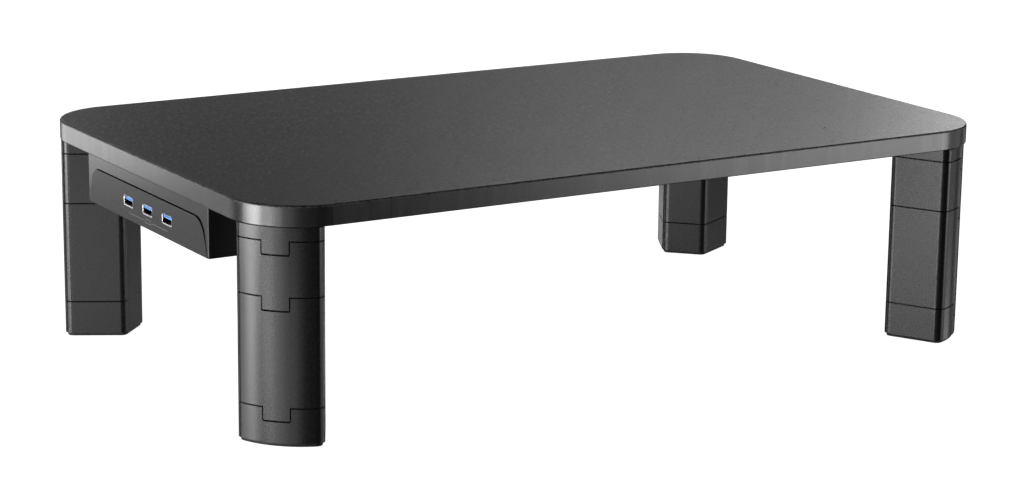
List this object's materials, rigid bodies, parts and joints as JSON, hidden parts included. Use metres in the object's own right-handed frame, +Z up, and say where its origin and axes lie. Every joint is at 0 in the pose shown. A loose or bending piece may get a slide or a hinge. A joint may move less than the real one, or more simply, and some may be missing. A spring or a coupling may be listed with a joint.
{
  "type": "monitor riser stand",
  "caption": "Desk-top monitor riser: a laminated shelf on plug-together corner legs that set its height, with a small hub box and USB ports under one end.",
  "frame": {"origin": "centre of the footprint, on the desk under the foot pads", "axes": "+X along the shelf to the right (the hub is under the -X end), +Y to the back, +Z up"},
  "size_m": [0.5, 0.312, 0.135],
  "materials": {
    "shelf_top": "fine pebble-grained laminate",
    "shelf_edge": "satin edge band with faint streaks",
    "shelf_underside": "matt balancing laminate",
    "shelf_core": "raw particle board, hidden",
    "leg_plastic": "satin moulded plastic with a fine spark texture",
    "foot_rubber": "matt",
    "screw_steel": "zinc plated",
    "hub_plastic": "satin moulded plastic",
    "fascia_plastic": "matt fine-textured plastic",
    "port_metal": "nickel plated",
    "port_blue": "moulded insulator",
    "contact_gold": "gold plated",
    "circuit_board": "solder mask",
    "chip_plastic": "moulded package",
    "capacitor_can": "bright can"
  },
  "bodies": {
    "shelf": {"top_laminate": "shelf_top", "edge_band": "shelf_edge", "underside_laminate": "shelf_underside", "board_core": "shelf_core", "hub_housing": "hub_plastic", "hub_bottom_cover": "hub_plastic", "hub_fascia": "fascia_plastic", "hub_circuit_board": "circuit_board", "usb_contacts": "contact_gold", "upstream_socket_shell": "port_metal", "upstream_socket_insert": "port_blue", "hub_controller_chip": "chip_plastic", "hub_crystal": "port_metal", "hub_capacitors": "capacitor_can", "hub_mounting_screws": "screw_steel", "hub_cover_screws": "screw_steel", "circuit_board_screws": "screw_steel", "leg_cap_screws": "screw_steel", "usb_port_shell_1": "port_metal", "usb_port_tongue_1": "port_blue", "usb_port_shell_2": "port_metal", "usb_port_tongue_2": "port_blue", "usb_port_shell_3": "port_metal", "usb_port_tongue_3": "port_blue", "leg_cap_front_left": "leg_plastic", "leg_cap_front_right": "leg_plastic", "leg_cap_back_right": "leg_plastic", "leg_cap_back_left": "leg_plastic"},
    "short_module_front_left": {"short_module_front_left": "leg_plastic"},
    "tall_module_front_left": {"tall_module_front_left": "leg_plastic"},
    "foot_front_left": {"foot_front_left": "leg_plastic", "foot_pad_front_left": "foot_rubber"},
    "short_module_front_right": {"short_module_front_right": "leg_plastic"},
    "tall_module_front_right": {"tall_module_front_right": "leg_plastic"},
    "foot_front_right": {"foot_front_right": "leg_plastic", "foot_pad_front_right": "foot_rubber"},
    "short_module_back_right": {"short_module_back_right": "leg_plastic"},
    "tall_module_back_right": {"tall_module_back_right": "leg_plastic"},
    "foot_back_right": {"foot_back_right": "leg_plastic", "foot_pad_back_right": "foot_rubber"},
    "short_module_back_left": {"short_module_back_left": "leg_plastic"},
    "tall_module_back_left": {"tall_module_back_left": "leg_plastic"},
    "foot_back_left": {"foot_back_left": "leg_plastic", "foot_pad_back_left": "foot_rubber"}
  },
  "joints": [
    {"name": "short_module_front_left_lift_off", "type": "slide", "parent": "shelf", "child": "short_module_front_left", "axis": [0, 0, -1], "range_m": [0, 0.02]},
    {"name": "tall_module_front_left_lift_off", "type": "slide", "parent": "short_module_front_left", "child": "tall_module_front_left", "axis": [0, 0, -1], "range_m": [0, 0.02]},
    {"name": "foot_front_left_lift_off", "type": "slide", "parent": "tall_module_front_left", "child": "foot_front_left", "axis": [0, 0, -1], "range_m": [0, 0.02]},
    {"name": "short_module_front_right_lift_off", "type": "slide", "parent": "shelf", "child": "short_module_front_right", "axis": [0, 0, -1], "range_m": [0, 0.02]},
    {"name": "tall_module_front_right_lift_off", "type": "slide", "parent": "short_module_front_right", "child": "tall_module_front_right", "axis": [0, 0, -1], "range_m": [0, 0.02]},
    {"name": "foot_front_right_lift_off", "type": "slide", "parent": "tall_module_front_right", "child": "foot_front_right", "axis": [0, 0, -1], "range_m": [0, 0.02]},
    {"name": "short_module_back_right_lift_off", "type": "slide", "parent": "shelf", "child": "short_module_back_right", "axis": [0, 0, -1], "range_m": [0, 0.02]},
    {"name": "tall_module_back_right_lift_off", "type": "slide", "parent": "short_module_back_right", "child": "tall_module_back_right", "axis": [0, 0, -1], "range_m": [0, 0.02]},
    {"name": "foot_back_right_lift_off", "type": "slide", "parent": "tall_module_back_right", "child": "foot_back_right", "axis": [0, 0, -1], "range_m": [0, 0.02]},
    {"name": "short_module_back_left_lift_off", "type": "slide", "parent": "shelf", "child": "short_module_back_left", "axis": [0, 0, -1], "range_m": [0, 0.02]},
    {"name": "tall_module_back_left_lift_off", "type": "slide", "parent": "short_module_back_left", "child": "tall_module_back_left", "axis": [0, 0, -1], "range_m": [0, 0.02]},
    {"name": "foot_back_left_lift_off", "type": "slide", "parent": "tall_module_back_left", "child": "foot_back_left", "axis": [0, 0, -1], "range_m": [0, 0.02]}
  ]
}
